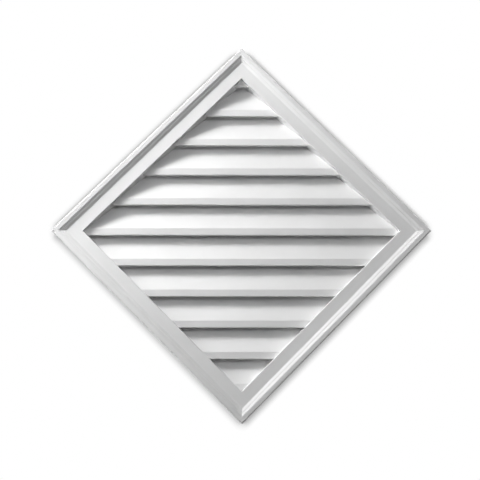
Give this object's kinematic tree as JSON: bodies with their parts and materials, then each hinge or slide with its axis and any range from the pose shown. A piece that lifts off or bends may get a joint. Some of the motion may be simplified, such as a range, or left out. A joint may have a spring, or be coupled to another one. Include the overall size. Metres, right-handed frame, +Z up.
{
  "type": "gable vent",
  "caption": "Diamond-shaped gable vent moulded in one piece: a stepped frame around slanted louvres that let attic air out and keep rain off.",
  "frame": {"origin": "centre of the flat back, on the wall", "axes": "+Y into the wall, the louvred front faces -Y, +Z up with the diamond standing on a corner"},
  "size_m": [0.9144, 0.058, 0.9144],
  "materials": {
    "primed_white": "factory-primed white skin on rigid polyurethane foam, fine satin"
  },
  "bodies": {
    "root": {"vent_body": "primed_white"}
  },
  "joints": []
}
